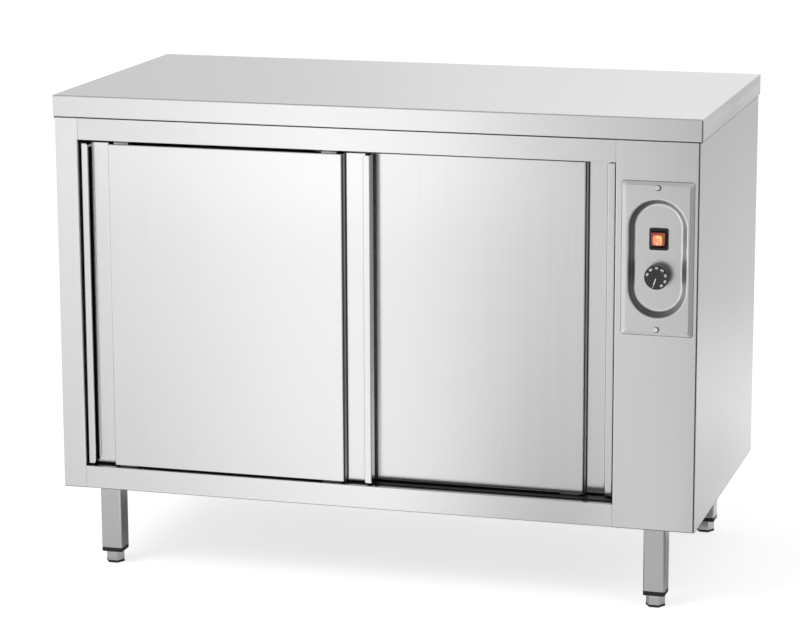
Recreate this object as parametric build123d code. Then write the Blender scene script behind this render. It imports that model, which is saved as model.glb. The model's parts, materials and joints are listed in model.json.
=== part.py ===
from build123d import *
import math
import os

# Heated plate cupboard on legs, in millimetres.
# +X is to the right of someone facing the doors, +Y goes back, +Z is up.
# The origin is on the floor, under the middle of the whole footprint.

# ---------------------------------------------------------------- driving sizes
# worktop
worktop_width = 1200.0
worktop_depth = 600.0
worktop_height = 892.0
worktop_edge = 40.0
worktop_sheet = 1.2
worktop_lip = 15.0
worktop_bend = 2.5
side_overhang = 3.5
front_overhang = 1.0

# cabinet body
body_bottom = 155.0
sheet = 1.0
flange = 20.0
post_width = 44.0
column_width = 148.5
corner_seam = 0.6
corner_bend = 2.0
top_rail_height = 41.0
bottom_rail_height = 42.0
rail_flange = 7.0
base_sheet = 1.2

# heated chamber
wall_insulation_thickness = 42.0
jamb_depth = 66.0
seam = 0.2
ceiling_drop = 34.0
return_flange = 12.0
wool_margin = 0.4

# doors
door_width = 550.0
door_thickness = 20.0
door_setback = 8.0
door_pitch = 32.0
door_top_gap = 7.0
door_bottom_gap = 2.5
left_door_gap = 3.0
right_door_gap = 9.5
lip_width = 13.0
channel_width = 40.0
channel_depth = 16.0
channel_slope = 4.0
door_bend = 1.8
channel_bend = 1.2
lip_corner = 6.0
lip_upstand = 2.0

# door running gear
track_width = 20.0
track_height = 28.0
track_wall = 1.5
track_slot = 6.0
track_end_gap = 0.5
wheel_radius = 9.0
wheel_width = 5.0
wheel_running_gap = 0.2
axle_radius = 3.0
axle_clearance = 0.05
hanger_width = 28.0
hanger_foot_depth = 14.0
hanger_plate = 3.0
hanger_inset = 77.0
hanger_above_axle = 8.0
sill_height = 13.0
groove_width = 8.0
groove_depth = 10.0
guide_length = 34.0
guide_plate = 1.7
guide_tongue = 6.0
guide_end_gap = 2.0
stop_length = 12.0
stop_height = 14.0
stop_gap = 0.2

# shelf
shelf_height = 505.0
shelf_edge = 25.0
shelf_side_gap = 2.0
shelf_front_gap = 14.0
shelf_back_gap = 6.0
angle_size = 20.0
angle_sheet = 1.5

# control plate, with a dish pressed into it
control_right_offset = 73.1
control_drop = 207.0
plate_width = 129.0
plate_length = 274.0
plate_rise = 3.5
plate_bevel = 8.0
plate_corner = 5.0
dish_width = 105.0
dish_length = 211.0
dish_depth = 14.0
dish_wall_spread = 10.7
dish_rim_bend = 2.2
dish_floor_bend = 2.8
screw_spacing = 251.0
screw_radius = 2.5
screw_head_radius = 5.2
screw_head_height = 3.2
screw_slot_width = 1.2
screw_slot_angle = 35.0
screw_head_bend = 1.6
screw_length = 12.0
screw_clearance = 0.2

# switch
switch_above = 33.2
bezel_width = 33.5
bezel_height = 39.0
bezel_thickness = 2.5
bezel_corner = 3.5
bezel_edge = 0.6
switch_box_width = 28.4
switch_box_height = 33.0
switch_box_depth = 27.5
switch_well_depth = 18.0
rocker_width = 24.8
rocker_radius = 14.3
rocker_clearance = 0.4
rocker_rise = 10.0
rocker_pivot_behind = 1.5
rocker_bevel = 2.0
rocker_back = 7.15
rocker_tilt = 6.0
pivot_radius = 1.5
pivot_length = 1.4
tab_width = 6.3
tab_thickness = 0.8
tab_length = 8.0

# thermostat
knob_below = 31.4
knob_radius = 21.6
knob_length = 18.5
knob_floor_gap = 1.5
knob_wall = 2.5
knob_hub_radius = 6.0
knob_edge = 1.2
shaft_radius = 3.0
shaft_clearance = 0.05
neck_radius = 5.0
thermostat_width = 36.0
thermostat_height = 42.0
thermostat_depth = 32.0
shaft_depth = 16.0
capillary_radius = 1.0
capillary_run = 96.0
bulb_radius = 3.0
bulb_length = 90.0
bulb_drop = 118.0
bulb_behind_middle = 83.4
bulb_off_wall = 8.0
bulb_clip_shares = (0.35, 0.8)

# fan heater
heater_behind_middle = 8.4
heater_centre_height = 340.0
duct_size = 220.0
duct_depth = 56.0
impeller_radius = 62.0
impeller_inner_radius = 40.0
impeller_width = 30.0
impeller_gap = 8.0
blade_count = 14
blade_thickness = 1.5
blade_angle = 35.0
hub_radius = 12.0
fan_shaft_radius = 3.0
element_ring_radius = 88.0
element_radius = 4.0
element_opening = 30.0
element_terminal = 20.0
motor_radius = 34.0
motor_length = 45.0
motor_stand_off = 10.0
motor_flange_radius = 45.0
motor_flange_thickness = 2.0
motor_cap_length = 3.0
motor_post_count = 3
motor_post_radius = 3.0
motor_post_circle = 28.0
fan_boss_radius = 6.0
fan_boss_reach = 2.5
intake_radius = 50.0
slot_height = 6.0
slot_pitch = 12.0
outlet_length = 14.0
outlet_offset = 98.0
outlet_pitch = 20.0
limiter_radius = 8.0
limiter_height = 12.0
limiter_flange = 24.0

# mains connection
terminal_length = 60.0
terminal_width = 25.0
terminal_height = 22.0
terminal_ways = 5
terminal_hole_depth = 11.0
terminal_right_offset = 96.5
mains_from_back = 150.0
gland_right_offset = 46.5
gland_bore = 5.0
gland_thread = 10.0
gland_hex = 14.0
gland_body = 15.0
gland_nut = 6.0
gland_rise = 12.0
wire_radius = 3.0
wire_bend = 24.0
vent_length = 60.0
vent_height = 4.0
vent_count = 8
vent_drop = 212.0

# legs and screw feet
leg_size = 40.0
leg_wall = 1.5
leg_corner = 4.0
leg_side_inset = 57.9
leg_front_inset = 32.8
leg_plate = 90.0
leg_plate_thickness = 4.0
cap_flange = 8.0
cap_plug = 40.0
cap_groove = 0.8
pad_height = 4.5
pad_radius = 18.0
pad_bevel = 1.1
foot_hex_radius = 17.5
foot_hex_height = 18.2
foot_hex_bevel = 1.5
foot_gap = 0.2
spindle_radius = 6.0
spindle_length = 47.0
spindle_clearance = 0.05
pad_boss_radius = 5.0
pad_boss_height = 9.0

# ---------------------------------------------------------------- worked-out places
knob_face_rise = plate_rise + knob_length + knob_floor_gap - dish_depth
front = (knob_face_rise + front_overhang - worktop_depth) / 2
worktop_front = front - front_overhang
worktop_back = worktop_front + worktop_depth
back = worktop_back
body_top = worktop_height - worktop_edge
body_half = worktop_width / 2 - side_overhang
left_jamb = -body_half + post_width
right_jamb = body_half - column_width
column_right = body_half - sheet - corner_seam
opening_top = body_top - top_rail_height
opening_bottom = body_bottom + bottom_rail_height

liner_front = front + jamb_depth + seam
liner_back = back - wall_insulation_thickness
liner_bottom = opening_bottom - flange
ceiling_height = body_top - ceiling_drop
base_top = body_bottom + sheet + base_sheet
return_bottom = base_top + flange

door_bottom = opening_bottom + door_bottom_gap
door_top = opening_top - door_top_gap
left_door_left = left_jamb + left_door_gap
right_door_left = right_jamb - right_door_gap - door_width
left_door_front = front + door_setback
right_door_front = left_door_front + door_pitch
door_travel = right_door_left - left_door_left
hanger_places = (hanger_inset, door_width - hanger_inset)

track_bottom = body_top - sheet - track_height
axle_height = track_bottom + track_wall + wheel_running_gap + wheel_radius
sill_top = opening_bottom

control_x = body_half - control_right_offset
control_height = body_top - control_drop
dish_floor = front - plate_rise + dish_depth
switch_z = control_height + switch_above
knob_z = control_height - knob_below
knob_face = dish_floor - knob_floor_gap - knob_length

partition_left = right_jamb
partition_right = right_jamb + sheet
chamber_middle = (liner_front + liner_back) / 2
heater_y = chamber_middle + heater_behind_middle
bulb_y = chamber_middle + bulb_behind_middle
bulb_height = ceiling_height - bulb_drop
duct_right = partition_right + duct_depth
terminal_x = body_half - terminal_right_offset
gland_x = body_half - gland_right_offset
mains_y = back - mains_from_back

leg_x = body_half - leg_side_inset - leg_size / 2
leg_front_y = front + leg_front_inset + leg_size / 2
leg_back_y = back - leg_front_inset - leg_size / 2
leg_places = {
    "front_left": (-leg_x, leg_front_y),
    "front_right": (leg_x, leg_front_y),
    "back_left": (-leg_x, leg_back_y),
    "back_right": (leg_x, leg_back_y),
}
hex_bottom = pad_height + foot_gap
hex_top = hex_bottom + foot_hex_height
cap_bottom = hex_top + foot_gap
leg_bottom = cap_bottom + cap_flange


# ---------------------------------------------------------------- helpers
def block(x0, x1, y0, y1, z0, z1):
    """Box between two opposite corners."""
    middle = Pos((x0 + x1) / 2, (y0 + y1) / 2, (z0 + z1) / 2)
    return middle * Box(x1 - x0, y1 - y0, z1 - z0)


def rod(start, end, radius):
    """Cylinder from one point to another."""
    run = Vector(*end) - Vector(*start)
    plane = Plane(origin=start, z_dir=run)
    return extrude(plane * Circle(radius), run.length)


def facing(x, y, z):
    """Plane that looks out of the front of the cupboard, its own Y up."""
    return Plane(origin=(x, y, z), x_dir=(1, 0, 0), z_dir=(0, -1, 0))


def looking_right(x, y, z):
    """Plane across the width, its own X going back and its own Y up."""
    return Plane(origin=(x, y, z), x_dir=(0, 1, 0), z_dir=(1, 0, 0))


def tray(x0, x1, y0, y1, z0, z1, wall, open_up):
    """Flat sheet with a flange folded round all four sides."""
    outer = block(x0, x1, y0, y1, z0, z1)
    low = z0 + wall if open_up else z0 - wall
    high = z1 + wall if open_up else z1 - wall
    return outer - block(x0 + wall, x1 - wall, y0 + wall, y1 - wall, low, high)


def bundle(solids):
    """Several loose solids that share one node."""
    return Compound(children=list(solids))


def wire_along(points, radius, bend):
    """Round wire that follows straight runs joined by arcs."""
    path = FilletPolyline(*points, radius=bend)
    start = Plane(origin=path @ 0, z_dir=path % 0)
    return sweep(start * Circle(radius), path=path)


# ---------------------------------------------------------------- worktop
def worktop():
    """Folded top: a sheet turned down all round, with a lip turned in below."""
    x1 = worktop_width / 2
    skin = block(-x1, x1, worktop_front, worktop_back, body_top, worktop_height)
    skin = fillet(skin.edges(), worktop_bend)
    wall = worktop_sheet
    void = block(-x1 + wall, x1 - wall, worktop_front + wall, worktop_back - wall,
                 body_top + wall, worktop_height - wall)
    lip = worktop_lip
    mouth = block(-x1 + lip, x1 - lip, worktop_front + lip, worktop_back - lip,
                  body_top - wall, body_top + 2 * wall)
    return skin - void - mouth


def worktop_core():
    """Board that stiffens and quietens the worktop."""
    inset = worktop_sheet
    x1 = worktop_width / 2 - inset
    return block(-x1, x1, worktop_front + inset, worktop_back - inset,
                 body_top + inset, worktop_height - inset)


# ---------------------------------------------------------------- outer body
def square_ends(x0, x1):
    """Corner pieces that leave a bend sharp where the two front rails butt against it."""
    upper = block(x0, x1, front, front + corner_bend, opening_top, body_top)
    lower = block(x0, x1, front, front + corner_bend, body_bottom, opening_bottom)
    return upper + lower


def left_side_panel():
    """Side sheet folded round the front corner to make the left post."""
    outer = block(-body_half, left_jamb, front, back, body_bottom, body_top)
    upright = outer.edges().filter_by(Axis.Z).group_by(Axis.Y)[0]
    outer = fillet(upright, corner_bend) + square_ends(left_jamb - corner_bend, left_jamb)
    void = block(-body_half + sheet, left_jamb - sheet, front + sheet, back - sheet,
                 body_bottom - sheet, body_top - sheet)
    inner_side = block(left_jamb - 2 * sheet, left_jamb + sheet, front + jamb_depth,
                       back + sheet, body_bottom - sheet, body_top + sheet)
    back_mouth = block(-body_half + flange, left_jamb, front + jamb_depth, back + sheet,
                       body_bottom - sheet, body_top + sheet)
    below_base = block(left_jamb - 2 * sheet, left_jamb + sheet, front + sheet, back,
                       body_bottom - sheet, return_bottom)
    return outer - void - inner_side - back_mouth - below_base


def right_side_panel():
    """Side sheet, with flanges at the back and the top."""
    inner = body_half - sheet
    side = block(inner, body_half, front, back, body_bottom, body_top)
    side += block(body_half - flange, body_half, back - sheet, back, body_bottom, body_top)
    side += block(body_half - flange, body_half, front + flange + sheet, back,
                  body_top - sheet, body_top)
    return side


def back_panel():
    """Rear sheet with cooling slots for the machine compartment."""
    inner = body_half - sheet
    y1 = back - sheet
    panel = block(-inner, inner, y1 - sheet, y1, body_bottom + sheet,
                  body_top - sheet)
    middle = (partition_right + body_half) / 2
    for number in range(vent_count):
        z0 = body_top - vent_drop + number * slot_pitch
        panel -= block(middle - vent_length / 2, middle + vent_length / 2,
                       y1 - 2 * sheet, y1 + sheet, z0, z0 + vent_height)
    return panel


def base_panel():
    """Underside tray, with square holes for the legs and one for the cable entry."""
    inner = body_half - sheet
    y0 = front + sheet
    y1 = back - 2 * sheet
    panel = tray(-inner, inner, y0, y1, body_bottom + sheet, return_bottom, base_sheet, True)
    panel -= block(column_right - sheet, inner + sheet, front, front + flange + sheet,
                   base_top, return_bottom + sheet)
    half = leg_size / 2
    for x, y in leg_places.values():
        panel -= block(x - half, x + half, y - half, y + half, body_bottom, base_top)
    panel -= rod((gland_x, mains_y, body_bottom), (gland_x, mains_y, base_top), gland_thread)
    return panel


def folded_rail(z_low, z_high, deep_at_top):
    """Front rail with one narrow flange and one that reaches to the chamber."""
    outer = block(left_jamb, right_jamb, front, front + jamb_depth, z_low, z_high)
    edges = outer.edges().filter_by(Axis.X).group_by(Axis.Y)[0]
    outer = fillet(edges, sheet)
    void = block(left_jamb - sheet, right_jamb + sheet, front + sheet,
                 front + jamb_depth + sheet, z_low + sheet, z_high - sheet)
    cut_low = z_low - sheet if deep_at_top else z_high - 2 * sheet
    cut_high = z_low + 2 * sheet if deep_at_top else z_high + sheet
    shorten = block(left_jamb - sheet, right_jamb + sheet, front + rail_flange,
                    front + jamb_depth + sheet, cut_low, cut_high)
    return outer - void - shorten


def top_rail():
    """Rail over the doors; its upper flange carries the door track."""
    return folded_rail(opening_top, body_top, True)


def bottom_rail():
    """Rail under the doors; its lower flange sits beneath the base tray."""
    rail = folded_rail(body_bottom, opening_bottom, False)
    return rail - block(left_jamb - sheet, right_jamb + sheet, front + flange,
                        back, body_bottom - sheet, base_top)


def control_column():
    """Front cover of the machine compartment, cut out for the control dish."""
    outer = block(right_jamb, column_right, front, front + jamb_depth, body_bottom, body_top)
    upright = outer.edges().filter_by(Axis.Z).group_by(Axis.Y)[0]
    outer = fillet(upright, corner_bend) + square_ends(right_jamb, right_jamb + corner_bend)
    void = block(right_jamb + sheet, column_right - sheet, front + sheet,
                 front + jamb_depth + sheet, body_bottom - sheet, body_top - sheet)
    shorten = block(right_jamb + 2 * sheet, column_right + sheet, front + flange,
                    front + jamb_depth + sheet, body_bottom - sheet, body_top + sheet)
    below_base = block(right_jamb - sheet, column_right + sheet, front + sheet,
                       front + jamb_depth + sheet, body_bottom - sheet, return_bottom)
    cover = outer - void - shorten - below_base
    window = facing(control_x, front + 2 * sheet, control_height)
    cover -= extrude(window * SlotOverall(dish_length, dish_width, rotation=90), 3 * sheet)
    for side in (-1, 1):
        z = control_height + side * screw_spacing / 2
        cover -= rod((control_x, front - sheet, z), (control_x, front + 2 * sheet, z),
                     screw_radius + screw_clearance)
    return cover


# ---------------------------------------------------------------- heated chamber
def chamber_left_wall():
    """Left liner sheet, its front edge turned outwards behind the post."""
    wall = block(left_jamb, left_jamb + sheet, liner_front, liner_back,
                 liner_bottom, ceiling_height + flange)
    return wall + block(left_jamb - return_flange, left_jamb + sheet, liner_front,
                        liner_front + sheet, liner_bottom, ceiling_height + flange)


def chamber_back_wall():
    """Back liner sheet of the chamber."""
    return block(left_jamb, partition_right, liner_back, liner_back + sheet,
                 liner_bottom, ceiling_height + flange)


def chamber_ceiling():
    """Ceiling tray of the chamber, its flanges turned up."""
    return tray(left_jamb + sheet, partition_left, liner_front, liner_back,
                ceiling_height, ceiling_height + flange, sheet, True)


def chamber_floor():
    """Floor tray of the chamber, its flanges turned down."""
    return tray(left_jamb + sheet, partition_left, liner_front, liner_back,
                liner_bottom, opening_bottom, sheet, False)


def chamber_partition():
    """Wall between chamber and machine compartment, with the air slots."""
    wall = block(partition_left, partition_right, liner_front, liner_back,
                 liner_bottom, body_top)
    x0 = partition_left - sheet
    x1 = partition_right + sheet
    rows = int(intake_radius // slot_pitch)
    for row in range(-rows, rows + 1):
        rise = row * slot_pitch
        reach = math.sqrt(intake_radius ** 2 - rise ** 2)
        z = heater_centre_height + rise
        wall -= block(x0, x1, heater_y - reach, heater_y + reach,
                      z - slot_height / 2, z + slot_height / 2)
    outlet_rows = int((duct_size / 2 - outlet_length) // outlet_pitch)
    for side in (-1, 1):
        y = heater_y + side * outlet_offset
        for row in range(-outlet_rows, outlet_rows + 1):
            z = heater_centre_height + row * outlet_pitch
            wall -= block(x0, x1, y - outlet_length / 2, y + outlet_length / 2,
                          z - slot_height / 2, z + slot_height / 2)
    wall -= rod((x0, bulb_y, bulb_height), (x1, bulb_y, bulb_height), bulb_radius)
    return wall


def wall_insulation():
    """Mineral wool slabs: left, back, floor and ceiling."""
    gap = wool_margin
    behind = liner_front + sheet
    left = block(-body_half + sheet, left_jamb, behind, back - 2 * sheet,
                 return_bottom + gap, body_top - sheet - gap)
    rear = block(left_jamb + gap, partition_left, liner_back + sheet, back - 2 * sheet,
                 return_bottom + gap, body_top - gap)
    under = block(left_jamb + 2 * sheet, partition_left - sheet, behind, liner_back - sheet,
                  base_top + 2 * leg_plate_thickness, opening_bottom - sheet)
    over = block(left_jamb + 2 * sheet, partition_left - sheet, behind, liner_back - sheet,
                 ceiling_height + sheet, body_top - gap)
    return bundle([left, rear, under, over])


def shelf_parts_height():
    """Top of the angles that the shelf rests on."""
    return shelf_height - shelf_edge


def shelf():
    """Loose middle shelf, its edges turned down."""
    return tray(left_jamb + sheet + shelf_side_gap, partition_left - shelf_side_gap,
                liner_front + shelf_front_gap, liner_back - shelf_back_gap,
                shelf_parts_height(), shelf_height, sheet, False)


def shelf_rails():
    """Two angles, one on the left liner and one on the partition."""
    top = shelf_parts_height()
    y0 = liner_front + shelf_front_gap
    y1 = liner_back - shelf_back_gap
    rails = []
    for wall_x, inward in ((left_jamb + sheet, 1), (partition_left, -1)):
        across = sorted((wall_x, wall_x + inward * angle_size))
        thick = sorted((wall_x, wall_x + inward * angle_sheet))
        ledge = block(*across, y0, y1, top - angle_sheet, top)
        rails.append(ledge + block(*thick, y0, y1, top - angle_size, top))
    return bundle(rails)


# ---------------------------------------------------------------- door tracks
def door_centre(door_front):
    """Depth of the middle of a door."""
    return door_front + door_thickness / 2


def top_track():
    """Double C track, one channel for each door, under the top rail's flange."""
    x0 = left_jamb + track_end_gap
    x1 = right_jamb - track_end_gap
    top = body_top - sheet
    half = track_width / 2
    lines = (door_centre(left_door_front), door_centre(right_door_front))
    track = block(x0, x1, lines[0] - half, lines[1] + half, top - track_wall, top)
    for y in lines:
        track += block(x0, x1, y - half, y + half, track_bottom, top)
    for y in lines:
        track -= block(x0 - sheet, x1 + sheet, y - half + track_wall, y + half - track_wall,
                       track_bottom + track_wall, top - track_wall)
        track -= block(x0 - sheet, x1 + sheet, y - track_slot / 2, y + track_slot / 2,
                       track_bottom - sheet, top - track_wall)
    return track


def bottom_track():
    """Grooved sill that keeps the foot of each door in line."""
    y0 = front + rail_flange
    track = block(left_jamb, right_jamb, y0, liner_front, sill_top - sill_height, sill_top)
    for door_front in (left_door_front, right_door_front):
        y = door_centre(door_front)
        track -= block(left_jamb - sheet, right_jamb + sheet, y - groove_width / 2,
                       y + groove_width / 2, sill_top - groove_depth, sill_top + sheet)
    return track


def door_stops():
    """Rubber blocks at both ends of each track that halt the hangers."""
    half = track_width / 2 - track_wall
    low = track_bottom + track_wall
    reach = hanger_width / 2 + stop_gap
    first = left_door_left + hanger_places[0] - reach
    last = right_door_left + hanger_places[1] + reach
    stops = []
    for door_front in (left_door_front, right_door_front):
        y = door_centre(door_front)
        for x0, x1 in ((first - stop_length, first), (last, last + stop_length)):
            stops.append(block(x0, x1, y - half, y + half, low, low + stop_height))
    return bundle(stops)


# ---------------------------------------------------------------- doors
def door_outline(inset):
    """Plan of a door: flat middle, a finger channel and a lip at each end."""
    near = inset
    deep = channel_depth + inset
    rear = door_thickness - inset
    lip = lip_width - inset
    lip_foot = lip + channel_slope
    panel = lip_width + channel_width + inset
    panel_foot = panel - channel_slope
    half = [(inset, rear), (inset, near), (lip, near), (lip_foot, deep),
            (panel_foot, deep), (panel, near)]
    other = [(door_width - x, y) for x, y in reversed(half)]
    convex = door_bend - inset
    concave = channel_bend + inset
    radii = [0, convex, convex, concave, concave, convex]
    return half + other, radii + radii[::-1]


def door_prism(inset, z_low, z_high):
    """Door plan drawn out upwards, with its folds rounded."""
    points, radii = door_outline(inset)
    outline = Polyline(*points, close=True)
    face = make_face(outline)
    for point, radius in zip(points, radii):
        if radius > 0:
            corner = face.vertices().sort_by_distance((point[0], point[1], 0))[0]
            face = fillet(corner, radius)
    return Pos(0, 0, z_low) * extrude(face, z_high - z_low)


def lip_corner_cutters(z_low, z_high):
    """Shapes that round the free corners of both lips."""
    cutters = []
    reach = lip_corner
    overlap = 2 * channel_slope
    deep = channel_depth
    for edge_x, inward in ((lip_width, -1), (door_width - lip_width, 1)):
        for edge_z, up in ((z_low, 1), (z_high, -1)):
            across = sorted((edge_x + inward * reach, edge_x - inward * overlap))
            along = sorted((edge_z + up * reach, edge_z - up * reach))
            corner = block(*across, -sheet, deep, *along)
            middle_x = edge_x + inward * reach
            middle_z = edge_z + up * reach
            corner -= rod((middle_x, -2 * sheet, middle_z), (middle_x, deep + sheet, middle_z),
                          reach)
            cutters.append(corner)
    return cutters


def lip_mouths():
    """Openings in the inner side of both lips, so that each is a hook for the fingers."""
    near = lip_width - 2 * sheet
    far = lip_width + channel_slope + sheet
    front_y = 2 * sheet
    rear_y = channel_depth - lip_upstand
    low = door_bottom + lip_corner + sheet
    high = door_top - lip_corner - sheet
    left = block(near, far, front_y, rear_y, low, high)
    right = block(door_width - far, door_width - near, front_y, rear_y, low, high)
    return left, right


def door_skin():
    """Outer sheet of a door, folded into channels and hooked lips, open at the back."""
    skin = door_prism(0, door_bottom, door_top)
    side = looking_right(0, 0, 0)
    height = door_top - door_bottom
    middle = side * Pos(door_thickness, (door_bottom + door_top) / 2)
    rounded = middle * RectangleRounded(2 * door_thickness, height, door_bend)
    skin = skin & extrude(rounded, door_width)
    for cutter in lip_corner_cutters(door_bottom, door_top):
        skin -= cutter
    clear_of_lip = lip_corner + sheet
    void = door_prism(sheet, door_bottom + clear_of_lip, door_top - clear_of_lip)
    panel_left = lip_width + channel_width
    tall = block(panel_left, door_width - panel_left, sheet, door_thickness - sheet,
                 door_bottom + sheet, door_top - sheet)
    mouth = block(sheet, door_width - sheet, door_thickness - 2 * sheet,
                  door_thickness + sheet, door_bottom + sheet, door_top - sheet)
    skin = skin - void - tall - mouth
    for opening in lip_mouths():
        skin -= opening
    return skin


def door_liner():
    """Flat sheet that closes the back of a door."""
    return block(sheet, door_width - sheet, door_thickness - sheet, door_thickness,
                 door_bottom + sheet, door_top - sheet)


def door_core():
    """Insulation between the two sheets of a door."""
    panel_left = lip_width + channel_width + sheet
    return block(panel_left, door_width - panel_left, sheet, door_thickness - sheet,
                 door_bottom + sheet, door_top - sheet)


def door_hangers():
    """Two brackets on the door's top edge that hold the wheel axles."""
    brackets = []
    y = door_thickness / 2
    for x in hanger_places:
        x0 = x - hanger_width / 2
        x1 = x + hanger_width / 2
        foot = block(x0, x1, y - hanger_foot_depth / 2, y + hanger_foot_depth / 2,
                     door_top, door_top + hanger_plate)
        plate = block(x0, x1, y - hanger_plate / 2, y + hanger_plate / 2,
                      door_top, axle_height + hanger_above_axle)
        bore = rod((x, 0, axle_height), (x, door_thickness, axle_height),
                   axle_radius + axle_clearance)
        brackets.append(foot + plate - bore)
    return bundle(brackets)


def door_guides():
    """Two glides under the door, each with a tongue in the sill's groove."""
    glides = []
    y = door_thickness / 2
    low = sill_top - groove_depth + guide_end_gap
    for x in hanger_places:
        x0 = x - guide_length / 2
        x1 = x + guide_length / 2
        plate = block(x0, x1, y - hanger_foot_depth / 2, y + hanger_foot_depth / 2,
                      door_bottom - guide_plate, door_bottom)
        tongue = block(x0, x1, y - guide_tongue / 2, y + guide_tongue / 2, low, door_bottom)
        glides.append(plate + tongue)
    return bundle(glides)


def door_wheels(x):
    """A pair of track wheels on their axle."""
    y = door_thickness / 2
    inner = hanger_plate / 2 + (wheel_radius - wheel_width) / 4
    outer = inner + wheel_width
    wheels = rod((x, y - outer, axle_height), (x, y + outer, axle_height), axle_radius)
    for near, far in ((y - outer, y - inner), (y + inner, y + outer)):
        wheels += rod((x, near, axle_height), (x, far, axle_height), wheel_radius)
    return wheels


def door_parts(name, left, door_front):
    """All the pieces of one door, moved to its place."""
    place = Pos(left, door_front, 0)
    parts = {
        f"{name}_door_skin": door_skin(),
        f"{name}_door_liner": door_liner(),
        f"{name}_door_core": door_core(),
        f"{name}_door_hangers": door_hangers(),
        f"{name}_door_guides": door_guides(),
    }
    for side, x in zip(("left", "right"), hanger_places):
        parts[f"{name}_door_{side}_wheels"] = door_wheels(x)
    return {node: place * shape for node, shape in parts.items()}


# ---------------------------------------------------------------- controls
def stadium_loft(near_y, far_y, grow):
    """Tapered dish shape between two depths, made larger all round by grow."""
    spread = 2 * dish_wall_spread
    near = facing(control_x, near_y, control_height) * SlotOverall(
        dish_length + grow, dish_width + grow, rotation=90)
    far = facing(control_x, far_y, control_height) * SlotOverall(
        dish_length + grow - spread, dish_width + grow - spread, rotation=90)
    return loft([near, far])


def bevel_block(near_y, far_y, shrink):
    """Raised plate with sloping borders."""
    wide = plate_width - 2 * shrink
    tall = plate_length - 2 * shrink
    lower = facing(control_x, far_y, control_height) * RectangleRounded(
        wide, tall, plate_corner)
    upper = facing(control_x, near_y, control_height) * RectangleRounded(
        wide - 2 * plate_bevel, tall - 2 * plate_bevel, plate_corner)
    return loft([lower, upper])


def dish_outline(plate, y, across):
    """Edges of the dish that lie at one depth."""
    tiny = sheet / 10
    found = []
    for edge in plate.edges():
        box = edge.bounding_box()
        level = abs(box.min.Y - y) < tiny and abs(box.max.Y - y) < tiny
        reach = max(control_x - box.min.X, box.max.X - control_x)
        if level and reach < across / 2 + tiny:
            found.append(edge)
    return found


def control_plate():
    """Raised plate with a deep oblong dish that holds the switch and the knob."""
    face_y = front - plate_rise
    plate = bevel_block(face_y, front, 0)
    plate -= bevel_block(face_y + sheet, front, sheet)
    plate += stadium_loft(face_y, dish_floor, 2 * sheet)
    floor_plane = facing(control_x, dish_floor + sheet, control_height)
    spread = 2 * dish_wall_spread
    floor = SlotOverall(dish_length + 2 * sheet - spread, dish_width + 2 * sheet - spread,
                        rotation=90)
    plate += extrude(floor_plane * floor, sheet)
    plate -= stadium_loft(face_y, dish_floor, 0)
    plate = fillet(dish_outline(plate, face_y, dish_width), dish_rim_bend)
    plate = fillet(dish_outline(plate, dish_floor, dish_width - spread), dish_floor_bend)
    plate -= block(control_x - switch_box_width / 2, control_x + switch_box_width / 2,
                   face_y, dish_floor + 2 * sheet,
                   switch_z - switch_box_height / 2, switch_z + switch_box_height / 2)
    plate -= rod((control_x, face_y, knob_z), (control_x, dish_floor + 2 * sheet, knob_z),
                 neck_radius)
    for side in (-1, 1):
        z = control_height + side * screw_spacing / 2
        plate -= rod((control_x, face_y - sheet, z), (control_x, front + sheet, z),
                     screw_radius + screw_clearance)
    return plate


def control_plate_screws():
    """Two slotted pan-head screws."""
    screws = []
    face_y = front - plate_rise
    for side in (-1, 1):
        z = control_height + side * screw_spacing / 2
        top_y = face_y - screw_head_height
        screw = rod((control_x, face_y, z), (control_x, top_y, z), screw_head_radius)
        rim = screw.edges().group_by(Axis.Y)[0]
        screw = fillet(rim, screw_head_bend)
        screw += rod((control_x, face_y, z), (control_x, face_y + screw_length, z), screw_radius)
        slot = Box(2 * screw_head_radius, screw_head_height, screw_slot_width)
        screw -= Pos(control_x, top_y, z) * Rot(0, screw_slot_angle, 0) * slot
        screws.append(screw)
    return bundle(screws)


def switch_body():
    """Switch housing: bezel in front of the dish floor, box and tabs behind it."""
    bezel_front = dish_floor - bezel_thickness
    bezel = facing(control_x, dish_floor, switch_z) * RectangleRounded(
        bezel_width, bezel_height, bezel_corner)
    body = extrude(bezel, bezel_thickness)
    body = fillet(body.faces().sort_by(Axis.Y)[0].edges(), bezel_edge)
    half_w = switch_box_width / 2
    half_h = switch_box_height / 2
    body += block(control_x - half_w, control_x + half_w, dish_floor,
                  dish_floor + switch_box_depth, switch_z - half_h, switch_z + half_h)
    well_w = rocker_width / 2 + rocker_clearance
    well_h = rocker_radius + rocker_clearance
    body -= block(control_x - well_w, control_x + well_w, bezel_front - sheet,
                  dish_floor + switch_well_depth, switch_z - well_h, switch_z + well_h)
    pivot_y = dish_floor + rocker_pivot_behind
    reach = rocker_width / 2 + pivot_length
    body -= rod((control_x - reach, pivot_y, switch_z), (control_x + reach, pivot_y, switch_z),
                pivot_radius + shaft_clearance)
    rear = dish_floor + switch_box_depth
    for side_x in (-1, 1):
        for side_z in (-1, 1):
            x = control_x + side_x * tab_width
            z = switch_z + side_z * tab_width
            body += block(x - tab_width / 2, x + tab_width / 2, rear, rear + tab_length,
                          z - tab_thickness / 2, z + tab_thickness / 2)
    return body


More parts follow.
